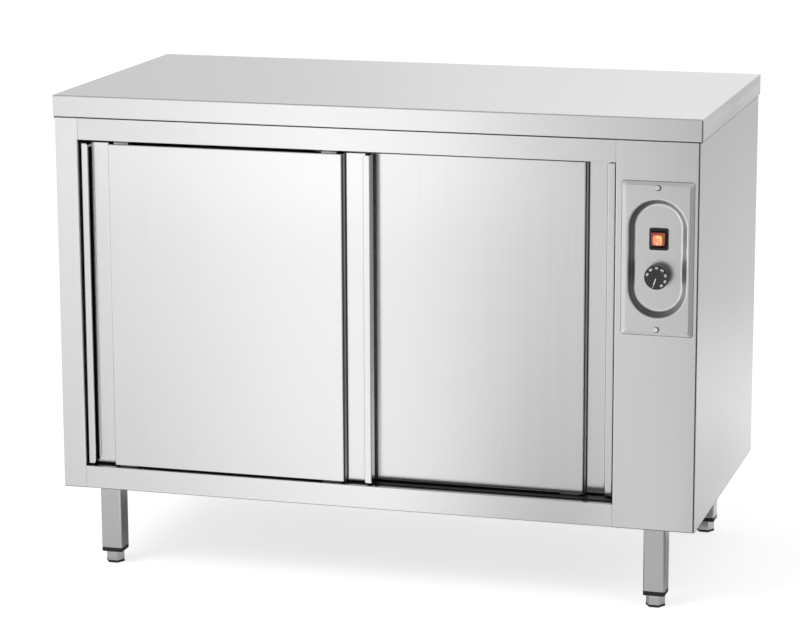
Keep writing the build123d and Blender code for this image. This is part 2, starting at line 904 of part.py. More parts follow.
def switch_rocker():
    """Lit rocker on a cross pivot, tilted to its on position."""
    pivot_y = dish_floor + rocker_pivot_behind
    face_y = dish_floor - rocker_rise
    half = rocker_width / 2
    drum = rod((-half, 0, 0), (half, 0, 0), rocker_radius)
    front_cut = face_y - pivot_y
    drum &= block(-half, half, front_cut, rocker_radius, -rocker_radius, rocker_radius)
    drum -= block(-half, half, rocker_back, rocker_radius, -rocker_radius, rocker_radius)
    face_edges = [edge for edge in drum.edges()
                  if edge.center().Y < front_cut / 2 and abs(edge.center().X) > half / 2]
    drum = chamfer(face_edges, rocker_bevel)
    reach = half + pivot_length - shaft_clearance
    drum += rod((-reach, 0, 0), (reach, 0, 0), pivot_radius)
    return Pos(control_x, pivot_y, switch_z) * Rot(rocker_tilt, 0, 0) * drum


def thermostat_body():
    """Thermostat box behind the dish, with its neck through the dish floor."""
    rear = dish_floor + sheet
    half_w = thermostat_width / 2
    half_h = thermostat_height / 2
    body = block(control_x - half_w, control_x + half_w, rear, rear + thermostat_depth,
                 knob_z - half_h, knob_z + half_h)
    body += rod((control_x, dish_floor - knob_floor_gap / 2, knob_z),
                (control_x, rear, knob_z), neck_radius)
    body -= rod((control_x, knob_face, knob_z), (control_x, rear + shaft_depth, knob_z),
                shaft_radius + shaft_clearance)
    return body


def thermostat_shaft():
    """Turning shaft that the knob is pushed on to."""
    end = dish_floor + shaft_depth
    return rod((control_x, knob_face + knob_wall, knob_z), (control_x, end, knob_z),
               shaft_radius)


def thermostat_knob():
    """Round hollow knob with a hub for the shaft."""
    rear = knob_face + knob_length
    knob = rod((control_x, knob_face, knob_z), (control_x, rear, knob_z), knob_radius)
    knob = fillet(knob.edges().group_by(Axis.Y)[0], knob_edge)
    hollow = rod((control_x, knob_face + knob_wall, knob_z), (control_x, rear + sheet, knob_z),
                 knob_radius - knob_wall)
    hub_end = rear - knob_floor_gap
    hub = rod((control_x, knob_face + knob_wall, knob_z), (control_x, hub_end, knob_z),
              knob_hub_radius)
    bore = rod((control_x, knob_face + knob_wall, knob_z), (control_x, rear + sheet, knob_z),
               shaft_radius)
    return knob - hollow + hub - bore


def thermostat_bulb():
    """Feeler in the chamber, its clips, and the capillary that leads to it."""
    start = (control_x, dish_floor + sheet + thermostat_depth, knob_z)
    lead_in = (control_x, start[1] + capillary_run, knob_z)
    through_y = bulb_y
    middle_x = (partition_right + control_x) / 2
    turn = (middle_x, through_y - capillary_run, bulb_height)
    bulb_x = partition_left - bulb_off_wall
    beside = (middle_x, through_y, bulb_height)
    path = [start, lead_in, turn, beside, (bulb_x, through_y, bulb_height)]
    feeler = wire_along(path, capillary_radius, bulb_off_wall)
    feeler += rod((bulb_x, through_y - bulb_radius, bulb_height),
                  (bulb_x, through_y + bulb_length, bulb_height), bulb_radius)
    for share in bulb_clip_shares:
        y = through_y + share * bulb_length
        feeler += block(bulb_x - bulb_radius - sheet, partition_left, y - bulb_radius,
                        y + bulb_radius, bulb_height - bulb_radius - sheet,
                        bulb_height + bulb_radius + sheet)
    return feeler


# ---------------------------------------------------------------- fan heater
def heater_duct():
    """Open box over the air slots, fixed to the partition."""
    half = duct_size / 2
    outer = block(partition_right, duct_right, heater_y - half, heater_y + half,
                  heater_centre_height - half, heater_centre_height + half)
    void = block(partition_right - sheet, duct_right - sheet,
                 heater_y - half + sheet, heater_y + half - sheet,
                 heater_centre_height - half + sheet, heater_centre_height + half - sheet)
    duct = outer - void
    duct -= rod((partition_right, heater_y, heater_centre_height),
                (duct_right + sheet, heater_y, heater_centre_height), hub_radius)
    for y, z in element_ends():
        duct -= rod((partition_right, y, z), (duct_right + sheet, y, z), element_radius)
    return duct


def element_ends():
    """Depth and height of both ends of the heating ring."""
    ends = []
    for side in (-1, 1):
        angle = math.radians(90 + side * element_opening / 2)
        ends.append((heater_y + element_ring_radius * math.cos(angle),
                     heater_centre_height + element_ring_radius * math.sin(angle)))
    return ends


def heating_element():
    """Tubular ring round the fan, its ends led out through the duct."""
    ring_x = partition_right + impeller_gap + impeller_width / 2
    section = looking_right(ring_x, heater_y, heater_centre_height)
    start_angle = 90 + element_opening / 2
    arc = section * CenterArc((0, 0), element_ring_radius, start_angle, 360 - element_opening)
    start = Plane(origin=arc @ 0, z_dir=arc % 0)
    element = sweep(start * Circle(element_radius), path=arc)
    for y, z in element_ends():
        element += Pos(ring_x, y, z) * Sphere(element_radius)
        element += rod((ring_x, y, z), (duct_right + element_terminal, y, z), element_radius)
    return element


def fan_impeller():
    """Centrifugal wheel with a back disc, a front ring and its shaft."""
    x0 = partition_right + impeller_gap
    x1 = x0 + impeller_width
    blade_length = impeller_radius - impeller_inner_radius
    wheel = rod((x1 - blade_thickness, 0, 0), (x1, 0, 0), impeller_radius)
    ring = rod((x0, 0, 0), (x0 + blade_thickness, 0, 0), impeller_radius)
    wheel += ring - rod((x0, 0, 0), (x0 + blade_thickness, 0, 0), impeller_inner_radius)
    blade = block(x0, x1, impeller_inner_radius, impeller_inner_radius + blade_length,
                  -blade_thickness / 2, blade_thickness / 2)
    middle = impeller_inner_radius + blade_length / 2
    leaning = Pos(0, middle, 0) * Rot(blade_angle, 0, 0) * Pos(0, -middle, 0) * blade
    for number in range(blade_count):
        wheel += Rot(number * 360 / blade_count, 0, 0) * leaning
    wheel &= rod((x0, 0, 0), (x1, 0, 0), impeller_radius)
    wheel += rod((x0 + impeller_width / 2, 0, 0), (x1 + fan_boss_reach, 0, 0), fan_boss_radius)
    shaft_end = duct_right + motor_stand_off + motor_length / 2
    wheel += rod((x0 + impeller_width / 2, 0, 0), (shaft_end, 0, 0), fan_shaft_radius)
    return Pos(0, heater_y, heater_centre_height) * wheel


def fan_motor():
    """Motor on a round flange that is screwed to the duct."""
    x0 = duct_right
    x1 = x0 + motor_stand_off
    x2 = x1 + motor_length
    motor = rod((x0, 0, 0), (x0 + motor_flange_thickness, 0, 0), motor_flange_radius)
    motor += rod((x1, 0, 0), (x2, 0, 0), motor_radius)
    motor += rod((x2, 0, 0), (x2 + motor_cap_length, 0, 0), hub_radius)
    for number in range(motor_post_count):
        post = rod((x0, motor_post_circle, 0), (x1, motor_post_circle, 0), motor_post_radius)
        motor += Rot(number * 360 / motor_post_count, 0, 0) * post
    motor -= rod((x0 - sheet, 0, 0), (x1, 0, 0), hub_radius)
    motor -= rod((x0, 0, 0), (x1 + motor_length / 2 + sheet, 0, 0),
                 fan_shaft_radius + shaft_clearance)
    return Pos(0, heater_y, heater_centre_height) * motor


def limit_thermostat():
    """Safety cut-out on top of the heater duct."""
    x = (partition_right + duct_right) / 2
    y = heater_y - duct_size / 4
    z0 = heater_centre_height + duct_size / 2
    cut_out = rod((x, y, z0), (x, y, z0 + limiter_height), limiter_radius)
    cut_out += block(x - limiter_flange / 2, x + limiter_flange / 2,
                     y - limiter_radius, y + limiter_radius, z0, z0 + sheet)
    for side in (-1, 1):
        tab_x = x + side * limiter_radius / 2
        cut_out += block(tab_x - tab_thickness / 2, tab_x + tab_thickness / 2,
                         y - tab_width / 2, y + tab_width / 2,
                         z0 + limiter_height, z0 + limiter_height + tab_length)
    return cut_out


# ---------------------------------------------------------------- mains connection
def terminal_block():
    """Screw terminal block on the base tray."""
    half = terminal_length / 2
    body = block(terminal_x - half, terminal_x + half, mains_y - terminal_width / 2,
                 mains_y + terminal_width / 2, base_top, base_top + terminal_height)
    pitch = terminal_length / terminal_ways
    for number in range(terminal_ways):
        x = terminal_x - half + (number + 0.5) * pitch
        for side in (-1, 1):
            y = mains_y + side * terminal_width / 4
            top = base_top + terminal_height
            body -= rod((x, y, top), (x, y, top - terminal_hole_depth), wire_radius)
    return body


def cable_gland():
    """Cable entry through the base: body below, thread, nut above."""
    hexagon = RegularPolygon(gland_hex, 6)
    low = body_bottom - gland_body
    under_base = body_bottom + sheet
    gland = Pos(gland_x, mains_y, low) * extrude(hexagon, under_base - low)
    gland += rod((gland_x, mains_y, under_base), (gland_x, mains_y, base_top + gland_rise),
                 gland_thread)
    gland += Pos(gland_x, mains_y, base_top) * extrude(hexagon, gland_nut)
    return gland - rod((gland_x, mains_y, low - sheet),
                       (gland_x, mains_y, base_top + gland_rise + sheet), gland_bore)


def wiring_loom():
    """Wire bundles from the terminal block to the switch and to the fan motor."""
    top = base_top + terminal_height
    bend = wire_bend
    x0 = terminal_x - terminal_length / 4
    rear = dish_floor + switch_box_depth + tab_length
    to_switch = [(x0, mains_y, top), (x0, mains_y, switch_z - 3 * bend),
                 (control_x, mains_y - 3 * bend, switch_z), (control_x, rear, switch_z)]
    x1 = terminal_x + terminal_length / 4
    motor_x = duct_right + motor_stand_off + motor_length / 2
    level = heater_centre_height
    to_motor = [(x1, mains_y, top), (x1, mains_y, level - 2 * bend),
                (motor_x, mains_y - 2 * bend, level), (motor_x, heater_y + motor_radius, level)]
    return bundle([wire_along(to_switch, wire_radius, bend),
                   wire_along(to_motor, wire_radius, bend)])


# ---------------------------------------------------------------- legs and feet
def legs():
    """Four square tubes, each welded to a plate on the base tray."""
    tubes = []
    for x, y in leg_places.values():
        place = Pos(x, y, leg_bottom)
        length = base_top - leg_bottom
        tube = extrude(RectangleRounded(leg_size, leg_size, leg_corner), length)
        inner = leg_size - 2 * leg_wall
        tube -= extrude(RectangleRounded(inner, inner, leg_corner - leg_wall), length)
        plate = Pos(0, 0, length + leg_plate_thickness / 2) * Box(
            leg_plate, leg_plate, leg_plate_thickness)
        tubes.append(place * (tube + plate))
    return bundle(tubes)


def leg_caps():
    """Four plastic bushes in the leg ends, bored for the foot spindles."""
    caps = []
    inner = leg_size - 2 * leg_wall
    groove_z = cap_bottom + cap_flange / 2
    for x, y in leg_places.values():
        cap = Pos(x, y, cap_bottom) * extrude(
            RectangleRounded(leg_size, leg_size, leg_corner), cap_flange)
        groove = Box(leg_size, leg_size, cap_groove)
        groove -= Box(leg_size - 2 * cap_groove, leg_size - 2 * cap_groove, cap_groove)
        cap -= Pos(x, y, groove_z) * groove
        cap += Pos(x, y, leg_bottom) * extrude(
            RectangleRounded(inner, inner, leg_corner - leg_wall), cap_plug)
        cap -= rod((x, y, cap_bottom - sheet), (x, y, leg_bottom + cap_plug + sheet),
                   spindle_radius + spindle_clearance)
        caps.append(cap)
    return bundle(caps)


def foot_pad(x, y):
    """Plastic pad that stays still on the floor while the foot is screwed."""
    pad = extrude(RegularPolygon(pad_radius, 6), pad_height)
    pad = chamfer(pad.edges().group_by(Axis.Z)[0], pad_bevel)
    pad += Pos(0, 0, pad_height) * extrude(Circle(pad_boss_radius), pad_boss_height)
    return Pos(x, y, 0) * pad


def foot_spindle(x, y):
    """Hexagonal sleeve and threaded spindle, drawn without its thread."""
    sleeve = Pos(0, 0, hex_bottom) * extrude(RegularPolygon(foot_hex_radius, 6), foot_hex_height)
    rounding = extrude(Pos(0, 0, hex_bottom) * Circle(foot_hex_radius), foot_hex_height)
    rounding = chamfer(rounding.edges().group_by(Axis.Z)[-1], foot_hex_bevel)
    sleeve &= rounding
    sleeve += rod((0, 0, hex_top), (0, 0, hex_top + spindle_length), spindle_radius)
    socket_top = pad_height + pad_boss_height + foot_gap
    sleeve -= rod((0, 0, 0), (0, 0, socket_top), pad_boss_radius + spindle_clearance)
    return Pos(x, y, 0) * sleeve


# ---------------------------------------------------------------- everything
def all_parts():
    """Every node of the cupboard by name."""
    parts = {
        "worktop": worktop(),
        "worktop_core": worktop_core(),
        "left_side_panel": left_side_panel(),
        "right_side_panel": right_side_panel(),
        "back_panel": back_panel(),
        "base_panel": base_panel(),
        "top_rail": top_rail(),
        "bottom_rail": bottom_rail(),
        "control_column": control_column(),
        "chamber_left_wall": chamber_left_wall(),
        "chamber_back_wall": chamber_back_wall(),
        "chamber_ceiling": chamber_ceiling(),
        "chamber_floor": chamber_floor(),
        "chamber_partition": chamber_partition(),
        "wall_insulation": wall_insulation(),
        "shelf": shelf(),
        "shelf_rails": shelf_rails(),
        "top_track": top_track(),
        "bottom_track": bottom_track(),
        "door_stops": door_stops(),
        "control_plate": control_plate(),
        "control_plate_screws": control_plate_screws(),
        "switch_body": switch_body(),
        "switch_rocker": switch_rocker(),
        "thermostat_body": thermostat_body(),
        "thermostat_shaft": thermostat_shaft(),
        "thermostat_knob": thermostat_knob(),
        "thermostat_bulb": thermostat_bulb(),
        "heater_duct": heater_duct(),
        "heating_element": heating_element(),
        "fan_impeller": fan_impeller(),
        "fan_motor": fan_motor(),
        "limit_thermostat": limit_thermostat(),
        "terminal_block": terminal_block(),
        "cable_gland": cable_gland(),
        "wiring_loom": wiring_loom(),
        "legs": legs(),
        "leg_caps": leg_caps(),
    }
    parts.update(door_parts("left", left_door_left, left_door_front))
    parts.update(door_parts("right", right_door_left, right_door_front))
    for corner, (x, y) in leg_places.items():
        parts[f"foot_pad_{corner}"] = foot_pad(x, y)
        parts[f"foot_spindle_{corner}"] = foot_spindle(x, y)
    return parts


os.makedirs("parts", exist_ok=True)
for node, shape in all_parts().items():
    export_step(shape, f"parts/{node}.step")
print("door travel", round(door_travel, 3), "front plane", round(front, 3))
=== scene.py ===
import json
import math
import bmesh
import bpy
from mathutils import Matrix, Vector

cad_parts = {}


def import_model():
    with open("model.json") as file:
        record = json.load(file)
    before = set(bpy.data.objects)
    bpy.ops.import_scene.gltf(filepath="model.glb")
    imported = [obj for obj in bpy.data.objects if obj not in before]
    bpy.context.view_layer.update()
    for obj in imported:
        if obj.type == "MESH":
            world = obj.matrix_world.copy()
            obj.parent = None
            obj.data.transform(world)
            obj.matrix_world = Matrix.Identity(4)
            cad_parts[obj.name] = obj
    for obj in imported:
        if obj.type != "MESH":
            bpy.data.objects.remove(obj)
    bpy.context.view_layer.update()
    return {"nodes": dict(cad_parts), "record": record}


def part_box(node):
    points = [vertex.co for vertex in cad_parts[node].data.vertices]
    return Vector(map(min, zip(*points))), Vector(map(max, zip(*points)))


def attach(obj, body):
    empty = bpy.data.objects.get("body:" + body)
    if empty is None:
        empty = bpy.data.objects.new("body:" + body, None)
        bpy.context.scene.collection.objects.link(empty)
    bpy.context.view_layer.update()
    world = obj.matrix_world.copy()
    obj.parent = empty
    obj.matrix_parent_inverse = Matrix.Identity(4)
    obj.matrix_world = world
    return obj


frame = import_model()
nodes = frame["nodes"]
slot_of = {s["node"]: s["material_slot"] for s in frame["record"]["subparts"]}


# ---------------------------------------------------------------- node helpers

def link(tree, a, b):
    tree.links.new(a, b)


def node(tree, kind, **inputs):
    """A shader node, with its unlinked inputs set by name (spaces as underscores)."""
    n = tree.nodes.new(kind)
    for name, value in inputs.items():
        n.inputs[name.replace("_", " ")].default_value = value
    return n


def maths(tree, operation, a, b=0.0):
    n = tree.nodes.new("ShaderNodeMath")
    n.operation = operation
    for socket, value in zip(n.inputs, (a, b)):
        if isinstance(value, (int, float)):
            socket.default_value = value
        else:
            link(tree, value, socket)
    return n.outputs[0]


def choose(tree, factor, when_no, when_yes):
    """when_no + factor * (when_yes - when_no), for numbers or sockets."""
    gap = maths(tree, "SUBTRACT", when_yes, when_no)
    return maths(tree, "ADD", maths(tree, "MULTIPLY", gap, factor), when_no)


def ramp(tree, source, stops, smooth="LINEAR"):
    """A colour ramp; each stop is (place, grey or colour)."""
    n = tree.nodes.new("ShaderNodeValToRGB")
    n.color_ramp.interpolation = smooth
    while len(n.color_ramp.elements) < len(stops):
        n.color_ramp.elements.new(0.5)
    for e, (place, colour) in zip(n.color_ramp.elements, stops):
        e.position = place
        e.color = (*colour, 1) if isinstance(colour, tuple) else (colour,) * 3 + (1,)
    link(tree, source, n.inputs[0])
    return n.outputs[0]


def map_range(tree, source, a, b, c, d):
    n = node(tree, "ShaderNodeMapRange", From_Min=a, From_Max=b, To_Min=c, To_Max=d)
    link(tree, source, n.inputs["Value"])
    return n.outputs[0]


def axes_of(tree, coordinates="Object"):
    """X, Y and Z sockets: Object is the CAD frame at rest, and a world's Generated is direction."""
    where = tree.nodes.new("ShaderNodeTexCoord")
    axes = tree.nodes.new("ShaderNodeSeparateXYZ")
    link(tree, where.outputs[coordinates], axes.inputs[0])
    return axes.outputs


def distance_of(tree, a, b):
    """The length of the vector (a, b)."""
    squares = [maths(tree, "MULTIPLY", side, side) for side in (a, b)]
    return maths(tree, "SQRT", maths(tree, "ADD", *squares))


def blend(tree, factor, when_no, when_yes):
    """choose(), for colours: each is a tuple or a socket."""
    n = tree.nodes.new("ShaderNodeMix")
    n.data_type = "RGBA"
    link(tree, factor, n.inputs["Factor"])
    for key, value in (("A", when_no), ("B", when_yes)):
        if isinstance(value, tuple):
            n.inputs[key].default_value = (*value, 1)
        else:
            link(tree, value, n.inputs[key])
    return n.outputs["Result"]


def mirror_rays(tree):
    """Light Path's outputs, and 1 where the ray was sent on by a glossy surface or by glass."""
    ray = tree.nodes.new("ShaderNodeLightPath").outputs
    return ray, maths(tree, "MAXIMUM", ray["Is Glossy Ray"], ray["Is Transmission Ray"])


def noise(tree, scale, stretch=(1, 1, 1), detail=2.0, rough=0.5, move=(0, 0, 0)):
    """Noise in the object's own coordinates, in metres, so that it moves with the piece."""
    where = tree.nodes.new("ShaderNodeTexCoord")
    turn = tree.nodes.new("ShaderNodeMapping")
    turn.inputs["Scale"].default_value = stretch
    turn.inputs["Location"].default_value = move
    n = node(tree, "ShaderNodeTexNoise", Scale=scale, Detail=detail, Roughness=rough)
    link(tree, where.outputs["Object"], turn.inputs["Vector"])
    link(tree, turn.outputs[0], n.inputs["Vector"])
    return n.outputs["Fac"]


def material(name, colour, metallic=0.0, roughness=0.5, **more):
    m = bpy.data.materials.new(name)
    m.use_nodes = True
    b = m.node_tree.nodes["Principled BSDF"]
    b.inputs["Base Color"].default_value = (*colour, 1)
    b.inputs["Metallic"].default_value = metallic
    b.inputs["Roughness"].default_value = roughness
    for key, value in more.items():
        b.inputs[key.replace("_", " ")].default_value = value
    return m, m.node_tree, b


def tint(tree, b, source, dark, light):
    """Colour between two tones, by a grey source."""
    link(tree, ramp(tree, source, [(0.0, dark), (1.0, light)]), b.inputs["Base Color"])


def bump(tree, b, source, strength, distance, rounded=None):
    n = node(tree, "ShaderNodeBump", Strength=strength, Distance=distance)
    link(tree, source, n.inputs["Height"])
    if rounded:
        link(tree, rounded, n.inputs["Normal"])
    link(tree, n.outputs[0], b.inputs["Normal"])


def rounded_edges(tree, radius):
    n = node(tree, "ShaderNodeBevel", Radius=radius)
    n.samples = 4
    return n.outputs[0]


# ---------------------------------------------------------------- finishes

# How much finer the brush lines are across the grain than along it.
grain_stretch = {"X": (1, 160, 160), "Z": (160, 160, 1)}


def brushed(name, grain, tone, roughness=0.22, anisotropy=0.55, edge=0.0, metallic=1.0):
    """Stainless sheet, with fine long brush lines along the grain and faint handling marks."""
    m, t, b = material(name, (tone, tone, tone), metallic, roughness)
    b.inputs["Anisotropic"].default_value = anisotropy
    lines = noise(t, 2.2, grain_stretch[grain], 4.0, 0.62)
    cloud = noise(t, 3.1, (1, 1, 1), 2.0, 0.5, (4, 2, 7))
    mixed = maths(t, "ADD", maths(t, "MULTIPLY", lines, 0.8), maths(t, "MULTIPLY", cloud, 0.2))
    low, high = tone * 0.975, tone * 1.02
    tint(t, b, map_range(t, mixed, 0.32, 0.68, 0.0, 1.0),
         (low, low, low - 0.004), (high, high, high - 0.006))
    spread = maths(t, "ADD", maths(t, "MULTIPLY", lines, 0.10), maths(t, "MULTIPLY", cloud, 0.05))
    link(t, maths(t, "ADD", spread, roughness - 0.075), b.inputs["Roughness"])
    along = t.nodes.new("ShaderNodeTangent")
    along.direction_type = "RADIAL"
    along.axis = grain
    link(t, along.outputs[0], b.inputs["Tangent"])
    bump(t, b, lines, 0.10, 0.00006, rounded_edges(t, edge) if edge else None)
    return m


def liner_sheet(name):
    """Dull inner sheet; not quite metallic, so that it isn't black where it mirrors itself."""
    return brushed(name, "X", 0.72, 0.38, 0.4, metallic=0.82)


def paint_light_and_shade(m, factor, colour, roughness=None):
    """Paints light and shade into a finished metal: mixes it toward another colour, and roughness,
    where the factor is 1.
    """
    t = m.node_tree
    b = t.nodes["Principled BSDF"]
    link(t, blend(t, factor, b.inputs["Base Color"].links[0].from_socket, colour),
         b.inputs["Base Color"])
    if roughness is not None:
        link(t, choose(t, factor, b.inputs["Roughness"].links[0].from_socket, roughness),
             b.inputs["Roughness"])
    return m


def edge_shade_line(m, axis, place, inward, width, strength=1.0):
    """A thin painted shade line along a sheet's edge, where it turns under or butts on the next sheet.
    """
    t = m.node_tree
    gap = maths(t, "MULTIPLY", maths(t, "SUBTRACT", axes_of(t)[axis], place), inward)
    return paint_light_and_shade(m, map_range(t, gap, width, width * 0.6, 0.0, strength), (0.13, 0.13, 0.13))


def corner_shade_line(m, low, high):
    """Painted shade down the worktop's right front corner, fading out at its edges."""
    side_width, front_width, fade, top_bend = 0.0016, 0.0010, 0.0010, 0.002
    side_start, front_start = high.x - side_width, low.y + front_width
    t = m.node_tree
    axes = axes_of(t)
    corner_shade = maths(t, "MULTIPLY",
                 map_range(t, axes["X"], side_start - fade, side_start, 0.0, 1.0),
                 map_range(t, axes["Y"], front_start, front_start + fade, 0.85, 0.0))
    below_top = maths(t, "LESS_THAN", axes["Z"], high.z - top_bend)
    return paint_light_and_shade(m, maths(t, "MULTIPLY", corner_shade, below_top), (0.20, 0.20, 0.20))


def body_sheet(name, grain, tone, bottom):
    """A sheet of the body, with a painted shade line where its lower edge turns under."""
    sheet = brushed(name, grain, tone, edge=0.0009)
    return edge_shade_line(sheet, "Z", bottom, inward=1, width=0.0014)


def hook_shade(m, low, high):
    """Painted shade, dull and nearly black: the inside of a door's hooked lips and bands at its channel
    bends.
    """
    lip_width, sheet, back_gap = 0.0126, 0.0007, 0.0003
    wall_middle, wall_reach, channel_depth = 0.0511, 0.0034, 0.0165
    t = m.node_tree
    axes = axes_of(t)
    half = (high.x - low.x) / 2
    side = maths(t, "ABSOLUTE", maths(t, "SUBTRACT", axes["X"], (low.x + high.x) / 2))
    depth = maths(t, "SUBTRACT", axes["Y"], low.y)
    inside = maths(t, "MULTIPLY", maths(t, "GREATER_THAN", side, half - lip_width),
                   maths(t, "LESS_THAN", side, half - sheet))
    inside = maths(t, "MULTIPLY", inside, maths(t, "GREATER_THAN", depth, sheet))
    inside = maths(t, "MULTIPLY", inside, maths(t, "LESS_THAN", depth, high.y - low.y - back_gap))
    off_wall = maths(t, "ABSOLUTE", maths(t, "SUBTRACT", side, half - wall_middle))
    bends = ramp(t, map_range(t, depth, 0.0, channel_depth, 0.0, 1.0),
                 [(0.0, 0.0), (0.04, 0.0), (0.10, 0.85), (0.28, 0.85), (0.46, 0.15), (0.62, 0.15),
                  (0.78, 0.9), (0.95, 0.9), (1.0, 0.0)])
    wall = maths(t, "MULTIPLY", bends, maths(t, "LESS_THAN", off_wall, wall_reach))
    return paint_light_and_shade(m, maths(t, "MAXIMUM", inside, wall), (0.016, 0.016, 0.017), 0.7)


def pressed_plate(name, low, high):
    """Control plate: satin sheet, with painted shade on the dish walls and round its cut edge, and
    painted highlights at the rim.
    """
    dish_straight = 0.053
    rims_from, rims_to, wall_from, wall_to = 0.036, 0.056, 0.040, 0.055
    fade_from, fade_to = -0.020, 0.046
    edge_from, edge_to = -0.0011, -0.0006
    middle, half = (low + high) / 2, (high - low) / 2
    m = brushed(name, "Z", 0.79, 0.30, 0.35, edge=0.0012)
    t = m.node_tree
    axes = axes_of(t)
    off_x = maths(t, "SUBTRACT", axes["X"], middle.x)
    off_z = maths(t, "ABSOLUTE", maths(t, "SUBTRACT", axes["Z"], middle.z))
    beyond = maths(t, "MAXIMUM", maths(t, "SUBTRACT", off_z, dish_straight), 0.0)
    reach = distance_of(t, off_x, beyond)
    # Painted highlights: bright lines along the bends at the dish's floor and rim.
    rim_highlight = ramp(t, map_range(t, reach, rims_from, rims_to, 0.0, 1.0),
                [(0.0, 0.0), (0.12, 0.0), (0.2, 1.0), (0.28, 1.0), (0.34, 0.0), (0.74, 0.0),
                 (0.79, 1.0), (0.86, 1.0), (0.92, 0.0), (1.0, 0.0)])
    paint_light_and_shade(m, rim_highlight, (0.98, 0.98, 0.975))
    # Painted shade: dull dark bands on the dish walls, fading toward the right, and a dark line round
    # the plate's cut edge.
    wall = ramp(t, map_range(t, reach, wall_from, wall_to, 0.0, 1.0),
                [(0.0, 0.0), (0.18, 0.0), (0.25, 1.0), (0.44, 0.82), (0.55, 1.0), (0.69, 0.9),
                 (0.76, 0.0), (1.0, 0.0)])
    wall = maths(t, "MULTIPLY", wall, map_range(t, off_x, fade_from, fade_to, 1.0, 0.5))
    cut_edge = maths(t, "MAXIMUM", maths(t, "SUBTRACT", maths(t, "ABSOLUTE", off_x), half.x),
                     maths(t, "SUBTRACT", off_z, half.z))
    wall = maths(t, "MAXIMUM", wall, map_range(t, cut_edge, edge_from, edge_to, 0.0, 0.9))
    return paint_light_and_shade(m, wall, (0.19, 0.19, 0.188), 0.6)


def screw_heads(name, low, high):
    """Bright plated pan heads, with a painted shade ring round each head's edge, heavier toward the
    lower right.
    """
    shade_shift, shade_ring_from, shade_ring_to = 0.0006, 0.0036, 0.0047
    middle = (low + high) / 2
    half_spacing = ((high.z - low.z) - (high.x - low.x)) / 2
    m = drawn_metal(name, (0.90, 0.89, 0.87), 0.10, 0.08, 160.0)
    t = m.node_tree
    axes = axes_of(t)
    # The ring is centred a little up and to the left of each head, so its painted shade falls more on
    # the lower right.
    off_x = maths(t, "SUBTRACT", axes["X"], middle.x - shade_shift)
    off_z = maths(t, "SUBTRACT", axes["Z"], middle.z)
    own_head = maths(t, "MULTIPLY", maths(t, "SIGN", off_z), half_spacing)
    off_z = maths(t, "SUBTRACT", maths(t, "SUBTRACT", off_z, own_head), shade_shift)
    reach = distance_of(t, off_x, off_z)
    return paint_light_and_shade(m, map_range(t, reach, shade_ring_from, shade_ring_to, 0.0, 1.0), (0.10, 0.10, 0.10))


def drawn_metal(name, tone, roughness, blotch, scale):
    """Zinc plate, alloy or machined steel, with soft mottling."""
    m, t, b = material(name, tone, 1.0, roughness)
    spots = noise(t, scale, (1, 1, 1), 3.0, 0.6)
    dark = tuple(c * (1 - blotch) for c in tone)
    light = tuple(min(c * (1 + blotch * 0.6), 1) for c in tone)
    tint(t, b, map_range(t, spots, 0.35, 0.65, 0.0, 1.0), dark, light)
    link(t, map_range(t, spots, 0.3, 0.7, roughness + 0.08, roughness - 0.05), b.inputs["Roughness"])
    bump(t, b, noise(t, scale * 12, (1, 1, 1), 2.0), 0.12, 0.00005)
    return m


def moulded(name, colour, roughness=0.42, texture=1400.0, depth=0.25, edge=0.0003):
    """Moulded plastic, with a fine spark-eroded texture and faint flow marks."""
    m, t, b = material(name, colour, 0.0, roughness)
    flow = noise(t, 45.0, (1, 1, 0.4), 2.0)
    dark = tuple(c * 0.86 for c in colour)
    light = tuple(min(c * 1.14 + 0.002, 1) for c in colour)
    tint(t, b, map_range(t, flow, 0.3, 0.7, 0.0, 1.0), dark, light)
    link(t, map_range(t, flow, 0.3, 0.7, roughness - 0.05, roughness + 0.06), b.inputs["Roughness"])
    bump(t, b, noise(t, texture, (1, 1, 1), 1.0), depth, 0.00006, rounded_edges(t, edge))
    return m


def fibrous(name, dark, light, scale, stretch, depth):
    """Mineral wool or pressed board: tangled fibres or chips."""
    m, t, b = material(name, light, 0.0, 0.92)
    hair = noise(t, scale, stretch, 6.0, 0.7)
    tint(t, b, map_range(t, hair, 0.3, 0.7, 0.0, 1.0), dark, light)
    bump(t, b, hair, 0.8, depth)
    return m


def oxidised(name):
    """Heating tube, with the straw and blue bands that steel takes from heat."""
    m, t, b = material(name, (0.3, 0.24, 0.2), 1.0, 0.34)
    heat = noise(t, 14.0, (1, 1, 1), 2.0)
    bands = [(0.30, (0.16, 0.14, 0.15)), (0.45, (0.22, 0.18, 0.20)),
             (0.56, (0.34, 0.25, 0.18)), (0.70, (0.42, 0.36, 0.29))]
    link(t, ramp(t, heat, bands, "EASE"), b.inputs["Base Color"])
    bump(t, b, noise(t, 900.0), 0.2, 0.00005)
    return m


def braid(name):
    """Woven glass sleeve of heat-proof wiring: two slanting wave sets crossed."""
    m, t, b = material(name, (0.62, 0.60, 0.55), 0.0, 0.8)
    where = t.nodes.new("ShaderNodeTexCoord")
    heights = []
    for slant in (0.8, -0.8):
        turn = t.nodes.new("ShaderNodeMapping")
        turn.inputs["Rotation"].default_value = (slant, 0.3, slant)
        wave = node(t, "ShaderNodeTexWave", Scale=260.0, Distortion=0.6)
        link(t, where.outputs["Object"], turn.inputs["Vector"])
        link(t, turn.outputs[0], wave.inputs["Vector"])
        heights.append(wave.outputs["Fac"])
    weave = maths(t, "MULTIPLY", heights[0], heights[1])
    tint(t, b, weave, (0.44, 0.42, 0.38), (0.74, 0.72, 0.66))
    bump(t, b, weave, 0.6, 0.0003)
    return m


